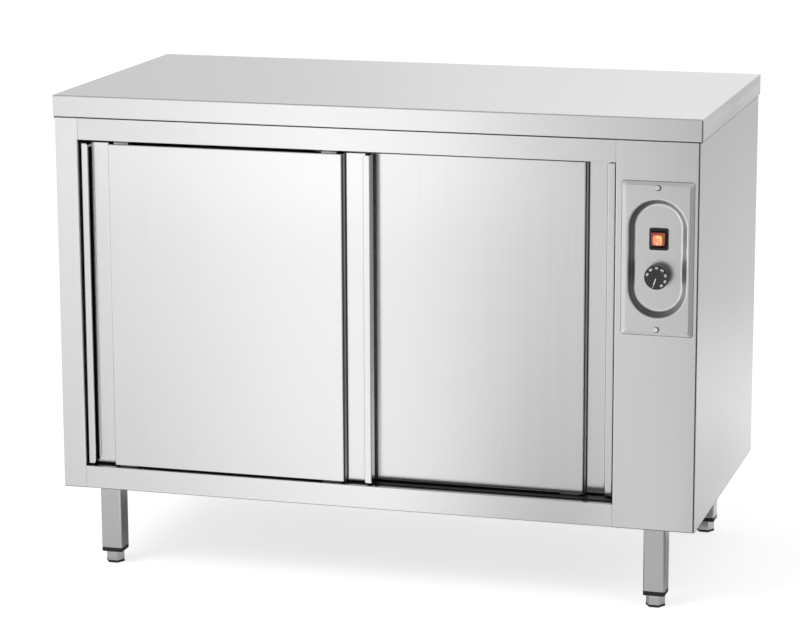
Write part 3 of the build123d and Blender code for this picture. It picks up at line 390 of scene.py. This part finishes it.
def turned_steel(name):
    """Foot sleeve and spindle: bright, with fine turning lines round the axis."""
    m, t, b = material(name, (0.62, 0.62, 0.61), 1.0, 0.24)
    lines = noise(t, 2.0, (3, 3, 900), 3.0)
    tint(t, b, map_range(t, lines, 0.3, 0.7, 0.0, 1.0), (0.48, 0.48, 0.47), (0.72, 0.72, 0.71))
    bump(t, b, lines, 0.25, 0.00008, rounded_edges(t, 0.0004))
    return m


def worn_paint(name):
    """Pale marking paint, a little rubbed."""
    m, t, b = material(name, (0.80, 0.80, 0.78), 0.0, 0.55)
    worn = noise(t, 900.0, (1, 1, 1), 3.0)
    tint(t, b, map_range(t, worn, 0.25, 0.6, 0.0, 1.0), (0.62, 0.62, 0.60), (0.86, 0.86, 0.84))
    bump(t, b, worn, 0.2, 0.00004)
    return m


def lit_rocker(name, low, high):
    """Translucent red rocker with its lamp on: a dull red rim round a glowing window."""
    m, t, b = material(name, (0.36, 0.05, 0.04), 0.0, 0.22, Coat_Weight=0.6, Coat_Roughness=0.12)
    front_slope, face_to, flank_from = -0.105, 0.0012, 0.0022
    window_shift, window_half_u, window_half_v = 0.06, 0.58, 0.62
    axes = axes_of(t)
    u = map_range(t, axes["X"], low.x, high.x, -1.0, 1.0)
    v = map_range(t, axes["Z"], low.z, high.z, -1.0, 1.0)
    lean = maths(t, "MULTIPLY", maths(t, "SUBTRACT", axes["Z"], low.z), front_slope)
    depth = maths(t, "ADD", maths(t, "SUBTRACT", axes["Y"], low.y), lean)
    face = map_range(t, depth, face_to, flank_from, 1.0, 0.0)
    side = maths(t, "ABSOLUTE", maths(t, "ADD", u, window_shift))
    end = maths(t, "ABSOLUTE", maths(t, "ADD", v, window_shift))
    rounded = maths(t, "ADD", maths(t, "POWER", maths(t, "DIVIDE", side, window_half_u), 4.0),
                    maths(t, "POWER", maths(t, "DIVIDE", end, window_half_v), 4.0))
    window = map_range(t, rounded, 0.55, 1.5, 1.0, 0.0)
    shell = ramp(t, window, [(0.0, (0.25, 0.034, 0.028)), (1.0, (0.50, 0.11, 0.06))])
    # Painted shade: the rocker's flanks are near black and give no glow.
    link(t, blend(t, face, (0.035, 0.007, 0.006), shell), b.inputs["Base Color"])
    warmth = maths(t, "ADD", maths(t, "MULTIPLY", u, 0.56), maths(t, "MULTIPLY", v, 0.30))
    wobble = maths(t, "MULTIPLY", noise(t, 380.0, (1, 1, 1), 2.0), 0.5)
    glow = ramp(t, maths(t, "ADD", maths(t, "ADD", warmth, wobble), 0.28),
                [(0.0, (0.74, 0.15, 0.10)), (0.45, (0.90, 0.26, 0.09)), (0.72, (1.0, 0.52, 0.08)),
                 (1.0, (1.0, 0.82, 0.18))])
    specks = 0.0
    for place in (0.34, -0.48):
        off_u = maths(t, "MULTIPLY", maths(t, "ADD", u, 0.10), 1.4)
        gap = distance_of(t, off_u, maths(t, "SUBTRACT", v, place))
        specks = maths(t, "ADD", map_range(t, gap, 0.06, 0.20, 1.0, 0.0), specks)
    link(t, blend(t, specks, glow, (1.0, 0.86, 0.70)), b.inputs["Emission Color"])
    strength = maths(t, "ADD", maths(t, "MULTIPLY", window, 0.80), 0.05)
    link(t, maths(t, "MULTIPLY", strength, face), b.inputs["Emission Strength"])
    bump(t, b, noise(t, 900.0), 0.08, 0.00006)
    return m


finish_of_slot = {
    "board": fibrous("pressed_board", (0.30, 0.20, 0.12), (0.52, 0.38, 0.24), 220.0, (1, 1, 3), 0.0004),
    "wool": fibrous("mineral_wool", (0.42, 0.36, 0.20), (0.70, 0.64, 0.44), 190.0, (1, 3, 4), 0.0012),
    "track_alloy": brushed("extruded_alloy", "X", 0.70, 0.30, 0.4),
    "rubber_black": moulded("stop_rubber", (0.018, 0.018, 0.018), 0.7, 900.0, 0.35),
    "screw_steel": drawn_metal("screw_plate", (0.80, 0.79, 0.77), 0.12, 0.08, 160.0),
    "black_plastic": moulded("black_moulding", (0.008, 0.008, 0.0085), 0.44),
    "knob_plastic": moulded("knob_moulding", (0.021, 0.021, 0.022), 0.34, 1600.0, 0.12),
    "lit_red_plastic": lit_rocker("lit_rocker", *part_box("switch_rocker")),
    "zinc_steel": drawn_metal("zinc_plate", (0.46, 0.46, 0.455), 0.33, 0.16, 90.0),
    "element_steel": oxidised("heated_tube"),
    "fan_alloy": drawn_metal("fan_alloy", (0.68, 0.69, 0.70), 0.38, 0.08, 50.0),
    "motor_paint": moulded("motor_paint", (0.045, 0.047, 0.05), 0.5, 700.0, 0.5),
    "white_plastic": moulded("white_moulding", (0.74, 0.73, 0.70), 0.42),
    "wire_jacket": braid("glass_braid"),
    "grey_nylon": moulded("grey_nylon", (0.30, 0.31, 0.31), 0.48),
    "foot_steel": turned_steel("turned_steel"),
    "leg_steel": brushed("leg_steel", "Z", 0.59, 0.25, 0.5, edge=0.0009),
    "liner_steel": liner_sheet("liner_steel"),
}
body_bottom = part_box("left_side_panel")[0].z
rail_low, rail_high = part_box("bottom_rail")
butt_width, column_end_width = 0.0010, 0.0022
# Copies of one steel, with tones set a little apart to match how bright each piece looks: painted light
# and shade.
sheet_across = body_sheet("sheet_across", "X", 0.82, body_bottom)
# Painted shade lines near the cross sheets' two ends, where they butt on the next sheets.
edge_shade_line(sheet_across, "X", rail_low.x, 1, butt_width, 0.45)
edge_shade_line(sheet_across, "X", rail_high.x, -1, butt_width, 0.35)
sheet_upright = body_sheet("sheet_upright", "Z", 0.81, body_bottom)
column_sheet = body_sheet("column_sheet", "Z", 0.80, body_bottom)
# A painted shade line down the column's right end, along the gap to the right side panel.
edge_shade_line(column_sheet, "X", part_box("control_column")[1].x, -1, column_end_width, 0.9)
top_sheet = brushed("top_sheet", "X", 0.845, 0.24, 0.5, edge=0.0012)
corner_shade_line(top_sheet, *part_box("worktop"))
finish_of_node = {
    # Painted shade: the bottom track is made near black, for the shade under the doors.
    "bottom_track": brushed("track_painted_shade", "X", 0.06, 0.42, 0.3),
    "worktop": top_sheet, "top_rail": sheet_across, "bottom_rail": sheet_across,
    "base_panel": sheet_across, "left_side_panel": sheet_upright, "right_side_panel": sheet_upright,
    "back_panel": sheet_upright, "control_column": column_sheet,
    "control_plate": pressed_plate("pressed_plate", *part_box("control_plate")),
    "control_plate_screws": screw_heads("plated_heads", *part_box("control_plate_screws")),
}
# One steel for both door sheets; the right one's darker tone is painted shade.
for side, tone in (("left", 0.785), ("right", 0.755)):
    low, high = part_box(side + "_door_skin")
    skin = brushed(side + "_door_sheet", "Z", tone, 0.17, 0.5, edge=0.0007)
    finish_of_node[side + "_door_skin"] = hook_shade(skin, low, high)
    finish_of_node[side + "_door_liner"] = hook_shade(liner_sheet(side + "_door_liner"), low, high)
for name, obj in nodes.items():
    chosen = finish_of_node.get(name) or finish_of_slot[slot_of[name]]
    obj.data.materials.clear()
    obj.data.materials.append(chosen)


# ---------------------------------------------------------------- pieces made here

def add_piece(name, bm, finish):
    """Turns finished mesh work into an object of the scene."""
    mesh = bpy.data.meshes.new(name)
    bm.to_mesh(mesh)
    bm.free()
    piece = bpy.data.objects.new(name, mesh)
    bpy.context.scene.collection.objects.link(piece)
    mesh.materials.append(finish)
    return piece


def flat_text(words, size):
    """The outline of some words as a thin mesh, centred on its own origin, facing +Z."""
    curve = bpy.data.curves.new("words", "FONT")
    curve.body = words
    curve.size = size
    curve.align_x = "CENTER"
    curve.align_y = "CENTER"
    curve.extrude = 0.00006
    curve.offset = size * 0.012
    holder = bpy.data.objects.new("words", curve)
    bpy.context.scene.collection.objects.link(holder)
    bpy.context.view_layer.update()
    made = bpy.data.meshes.new_from_object(holder.evaluated_get(bpy.context.evaluated_depsgraph_get()))
    bpy.data.objects.remove(holder)
    return made


def stand_at(centre, angle, radius, plane_y):
    """Where a mark goes on the knob's face: outward is up, seen from the front."""
    a = math.radians(angle)
    out = Vector((math.cos(a), 0, math.sin(a)))
    across = Vector((math.sin(a), 0, -math.cos(a)))
    place = Vector((centre.x, plane_y, centre.z)) + out * radius
    m = Matrix.Identity(4)
    for column, axis in enumerate((across, out, Vector((0, -1, 0)))):
        m.col[column] = (*axis, 0)
    m.col[3] = (*place, 1)
    return m


def taper_bar(bm, centre, angle, plane_y, inner, outer, wide, narrow, thick):
    """A thin pointer line from near the middle outward."""
    m = stand_at(centre, angle, 0.0, plane_y)
    outline = [(-narrow, inner), (narrow, inner), (wide, outer * 0.9), (wide * 0.7, outer),
               (-wide * 0.7, outer), (-wide, outer * 0.9)]
    lower = [bm.verts.new(m @ Vector((x, y, 0))) for x, y in outline]
    upper = [bm.verts.new(m @ Vector((x * 0.86, y, thick))) for x, y in outline]
    bm.faces.new(upper)
    bm.faces.new(lower[::-1])
    for i in range(len(outline)):
        j = (i + 1) % len(outline)
        bm.faces.new((lower[i], lower[j], upper[j], upper[i]))


def dial_marks():
    """Plain numbers round the knob's face, with a small zero and the pointer line."""
    low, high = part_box("thermostat_knob")
    centre = (low + high) / 2
    paint_lift = 0.00004
    face = low.y - paint_lift
    number_size, number_radius, zero_size, zero_radius = 0.0056, 0.0164, 0.0034, 0.0172
    pointer_angle = -109
    numbers = [("30", -55), ("40", -21), ("50", 15), ("60", 52), ("70", 90), ("80", 127), ("90", 163)]
    marks = [(words, angle, number_size, number_radius) for words, angle in numbers]
    marks.append(("0", pointer_angle, zero_size, zero_radius))
    bm = bmesh.new()
    for words, angle, size, radius in marks:
        part = flat_text(words, size)
        part.transform(stand_at(centre, angle, radius, face))
        bm.from_mesh(part)
    taper_bar(bm, centre, pointer_angle, face, inner=0.0018, outer=0.0148, wide=0.0008,
              narrow=0.0006, thick=0.00012)
    piece = add_piece("dial_marks", bm, worn_paint("mark_paint"))
    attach(piece, "knob")


def worktop_shade_line():
    """A near-black bead right under the worktop, round the front and deeper down the sides, standing in
    for the shadow line there: painted shade.
    """
    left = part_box("left_side_panel")[0].x
    body_low, body_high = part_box("right_side_panel")
    short_of_back, top_gap, reach, side_depth = 0.003, 0.0001, 0.0006, 1.9
    near, far, right = body_low.y, body_high.y - short_of_back, body_high.x
    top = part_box("worktop")[0].z - top_gap
    profile = [(-0.0015, 0.0), (reach * 0.9, 0.0), (reach, -0.0003), (reach * 0.85, -0.0008),
               (reach * 0.4, -0.0012), (0.00004, -0.0014), (-0.0015, -0.0014)]
    corners = [(left, near, -1, -1), (right, near, 1, -1), (right, far, 1, 0.0), (left, far, -1, 0.0)]
    bm = bmesh.new()
    for start, stop, tall in ((3, 0, side_depth), (0, 1, 1.0), (1, 2, side_depth)):
        ends = [[bm.verts.new((x + out_x * o, y + out_y * o, top + up * tall)) for o, up in profile]
                for x, y, out_x, out_y in (corners[start], corners[stop])]
        for i in range(len(profile)):
            j = (i + 1) % len(profile)
            bm.faces.new((ends[0][i], ends[1][i], ends[1][j], ends[0][j]))
        for ring in ends:
            bm.faces.new(ring)
    bmesh.ops.recalc_face_normals(bm, faces=bm.faces)
    bead = moulded("worktop_shade_bead", (0.022, 0.022, 0.023), 0.5, 700.0, 0.3, 0.0002)
    piece = add_piece("worktop_shade_line", bm, bead)
    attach(piece, "cabinet")


def rivet(bm, x, y, z):
    """One blind rivet with its domed flange on the plane y and its hollow stem end showing."""
    profile = [(0.0033, -0.0002), (0.0033, 0.0003), (0.0029, 0.0006), (0.0021, 0.0008),
               (0.00135, 0.0009), (0.0012, 0.0007), (0.0012, 0.0002)]
    steps = 20
    rings = []
    for radius, out in profile:
        rings.append([bm.verts.new((x + radius * math.cos(math.tau * k / steps), y + out,
                                    z + radius * math.sin(math.tau * k / steps)))
                      for k in range(steps)])
    for inner, outer in zip(rings, rings[1:]):
        for k in range(steps):
            n = (k + 1) % steps
            bm.faces.new((inner[k], inner[n], outer[n], outer[k]))
    bm.faces.new(rings[0])
    bm.faces.new(rings[-1])


def back_rivets():
    """Rows of rivets down the back panel, just inside the flanges of the side panels."""
    low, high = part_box("back_panel")
    inset_x, inset_z, rows = 0.028, 0.045, 6
    bm = bmesh.new()
    for row in range(rows):
        z = low.z + inset_z + (high.z - low.z - 2 * inset_z) * row / (rows - 1)
        for x in (low.x + inset_x, high.x - inset_x):
            rivet(bm, x, high.y, z)
    bmesh.ops.recalc_face_normals(bm, faces=bm.faces)
    for face in bm.faces:
        face.smooth = len(face.verts) == 4
    alloy = drawn_metal("rivet_alloy", (0.60, 0.60, 0.61), 0.30, 0.10, 140.0)
    piece = add_piece("back_rivets", bm, alloy)
    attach(piece, "cabinet")


dial_marks()
worktop_shade_line()
back_rivets()


# ---------------------------------------------------------------- camera

def camera():
    """The viewing angle: from the right front, looking down by about 12 degrees."""
    eye = (1.50926, -5.32717, 1.66293)
    azimuth, dip, roll = 0.2808, 0.2152, -0.0038
    focal_pixels, frame_pixels = 3000.09, 800
    ahead = Vector((-math.sin(azimuth) * math.cos(dip), math.cos(azimuth) * math.cos(dip),
                    -math.sin(dip)))
    level = Vector((math.cos(azimuth), math.sin(azimuth), 0))
    upright = level.cross(ahead)
    right = level * math.cos(roll) + upright * math.sin(roll)
    up = upright * math.cos(roll) - level * math.sin(roll)
    data = bpy.data.cameras.new("camera")
    data.sensor_width = 36.0
    data.lens = focal_pixels * data.sensor_width / frame_pixels
    data.clip_start = 0.1
    data.clip_end = 200
    obj = bpy.data.objects.new("camera", data)
    bpy.context.scene.collection.objects.link(obj)
    m = Matrix.Identity(4)
    for column, axis in enumerate((right, up, -ahead)):
        m.col[column] = (*axis, 0)
    m.col[3] = (*eye, 1)
    obj.matrix_world = m
    bpy.context.scene.camera = obj


camera()


# ---------------------------------------------------------------- stage and light

# The camera's eye, mirrored in the front and in the right side of the object. The levels that the
# steel sees round the set fan out from these two points.
front_eye_x, front_eye_y = 1.509, 4.75
side_eye_x, side_eye_y = -0.316, -5.33
# By the slope x/y of the line from the first point: a soft pool of light at the front left, and a
# dark part of the room at the front right. far_stops are for the set in front, near_stops for the
# floor close to the object, and back_stops for the set behind.
far_stops = [(-0.70, 0.68), (-0.42, 0.73), (-0.387, 0.80), (-0.359, 0.91), (-0.31, 1.12),
             (-0.29, 1.13), (-0.257, 0.87), (-0.226, 0.60), (-0.196, 0.52), (-0.15, 0.26),
             (0.16, 0.25), (0.42, 0.42), (0.80, 0.46)]
near_stops = [(-0.70, 0.64), (-0.42, 0.68), (-0.387, 0.74), (-0.359, 0.84), (-0.31, 0.97),
              (-0.285, 0.96), (-0.257, 0.73), (-0.226, 0.57), (-0.196, 0.73), (-0.15, 0.33),
              (0.16, 0.31), (0.42, 0.42), (0.80, 0.46)]
back_stops = [(-0.60, 0.66), (-0.38, 0.71), (-0.32, 0.775), (-0.27, 0.88), (-0.217, 0.925),
              (-0.186, 0.945), (0.0, 0.89), (0.2, 0.71), (0.7, 0.65)]
# The floor beyond the right side, by the slope y/x of the line from the second point.
side_stops = [(5.0, 0.84), (5.5, 0.90), (5.9, 1.04), (6.3, 1.22), (7.2, 1.28), (9.0, 1.10),
              (12.0, 0.95)]
far_left_level = 1.12


def levels(tree, slope, stops):
    """A brightness looked up from (slope, level) pairs, kept under 1 inside the ramp."""
    first, last = stops[0][0], stops[-1][0]
    place = map_range(tree, slope, first, last, 0.0, 1.0)
    grey = ramp(tree, place, [((s - first) / (last - first), v / 2) for s, v in stops], "CARDINAL")
    return maths(tree, "MULTIPLY", grey, 2.0)


def floor_finish():
    """Pale to the camera, plain to matt surfaces and graded to mirrors; it takes the shadows."""
    plain_tone, camera_tone, camera_glow = 0.8, 0.40, 0.72
    far_from, near_until, rear_from = -4.35, -3.7, 0.2
    rear_near, rear_far, rear_bright, rear_dim = 0.6, 2.4, 1.03, 0.70
    left_from_x, left_full_x, left_from_y, left_full_y = -1.9, -2.9, -2.3, -1.2
    m = bpy.data.materials.new("pale_floor")
    m.use_nodes = True
    t = m.node_tree
    t.nodes.clear()
    ray, mirrored = mirror_rays(t)
    axes = axes_of(t)
    away = maths(t, "SUBTRACT", front_eye_y, axes["Y"])
    slope = maths(t, "DIVIDE", maths(t, "SUBTRACT", axes["X"], front_eye_x), away)
    distant = map_range(t, axes["Y"], far_from, near_until, 1.0, 0.0)
    front = choose(t, distant, levels(t, slope, near_stops), levels(t, slope, far_stops))
    rear = map_range(t, axes["Y"], rear_near, rear_far, rear_bright, rear_dim)
    aside = maths(t, "MAXIMUM", maths(t, "SUBTRACT", axes["X"], side_eye_x), 0.05)
    sweep = maths(t, "DIVIDE", maths(t, "SUBTRACT", axes["Y"], side_eye_y), aside)
    rear = maths(t, "MULTIPLY", rear, levels(t, sweep, side_stops))
    behind = maths(t, "GREATER_THAN", axes["Y"], rear_from)
    far_left = maths(t, "MULTIPLY",
                     map_range(t, axes["X"], left_from_x, left_full_x, 0.0, 1.0),
                     map_range(t, axes["Y"], left_from_y, left_full_y, 0.0, 1.0))
    seen = choose(t, far_left, choose(t, behind, front, rear), far_left_level)
    tone = choose(t, ray["Is Camera Ray"], choose(t, mirrored, plain_tone, seen), camera_tone)
    grey = t.nodes.new("ShaderNodeCombineColor")
    for socket in grey.inputs[:3]:
        link(t, tone, socket)
    matt = t.nodes.new("ShaderNodeBsdfDiffuse")
    glow = t.nodes.new("ShaderNodeEmission")
    both = t.nodes.new("ShaderNodeAddShader")
    out = t.nodes.new("ShaderNodeOutputMaterial")
    link(t, grey.outputs[0], matt.inputs["Color"])
    link(t, maths(t, "MULTIPLY", ray["Is Camera Ray"], camera_glow), glow.inputs["Strength"])
    link(t, matt.outputs[0], both.inputs[0])
    link(t, glow.outputs[0], both.inputs[1])
    link(t, both.outputs[0], out.inputs["Surface"])
    return m


def floor():
    side = 40.0
    mesh = bpy.data.meshes.new("floor")
    mesh.from_pydata([(-side, -side, 0), (side, -side, 0), (side, side, 0), (-side, side, 0)], [],
                     [(0, 1, 2, 3)])
    mesh.materials.append(floor_finish())
    obj = bpy.data.objects.new("floor", mesh)
    bpy.context.scene.collection.objects.link(obj)


def world():
    """White to the camera, plain to matt surfaces, and the floor's levels carried on for mirrors."""
    plain_level, front_sky, left_sky, overhead_level = 0.70, 0.62, 0.74, 0.42
    sky_from, sky_full, overhead_from, overhead_full = 0.06, 0.18, 0.35, 0.8
    left_from, left_full = -1.6, -3.0
    w = bpy.data.worlds.new("studio")
    bpy.context.scene.world = w
    w.use_nodes = True
    t = w.node_tree
    back = t.nodes["Background"]
    back.inputs["Color"].default_value = (1, 1, 1, 1)
    ray, mirrored = mirror_rays(t)
    axes = axes_of(t, "Generated")
    depth = maths(t, "MAXIMUM", maths(t, "ABSOLUTE", axes["Y"]), 0.05)
    slope = maths(t, "DIVIDE", axes["X"], depth)
    behind = maths(t, "GREATER_THAN", axes["Y"], 0.0)
    above = map_range(t, axes["Z"], sky_from, sky_full, 0.0, 1.0)
    in_front = choose(t, above, levels(t, slope, far_stops), front_sky)
    round_set = choose(t, behind, in_front, levels(t, slope, back_stops))
    round_set = choose(t, map_range(t, slope, left_from, left_full, 0.0, 1.0), round_set,
                       choose(t, above, far_left_level, left_sky))
    overhead = map_range(t, axes["Z"], overhead_from, overhead_full, 0.0, 1.0)
    lit = choose(t, mirrored, plain_level, choose(t, overhead, round_set, overhead_level))
    link(t, choose(t, ray["Is Camera Ray"], lit, 1.0), back.inputs["Strength"])


def softbox(name, place, aim, size, power):
    """A soft panel of light that neither the camera nor a mirror sees."""
    data = bpy.data.lights.new(name, "AREA")
    data.shape = "RECTANGLE"
    data.size, data.size_y = size
    data.energy = power
    obj = bpy.data.objects.new(name, data)
    bpy.context.scene.collection.objects.link(obj)
    obj.location = place
    obj.rotation_mode = "QUATERNION"
    obj.rotation_quaternion = (Vector(aim) - Vector(place)).to_track_quat("-Z", "Y")
    obj.visible_camera = False
    obj.visible_glossy = False


floor()
world()
softbox("key", (-6.0, -7.0, 9.0), (0, 0, 0.5), (6.0, 6.0), 760)
softbox("fill", (7.0, -4.0, 6.0), (0, 0, 0.5), (5.0, 5.0), 170)
bpy.context.scene.view_settings.view_transform = "Standard"
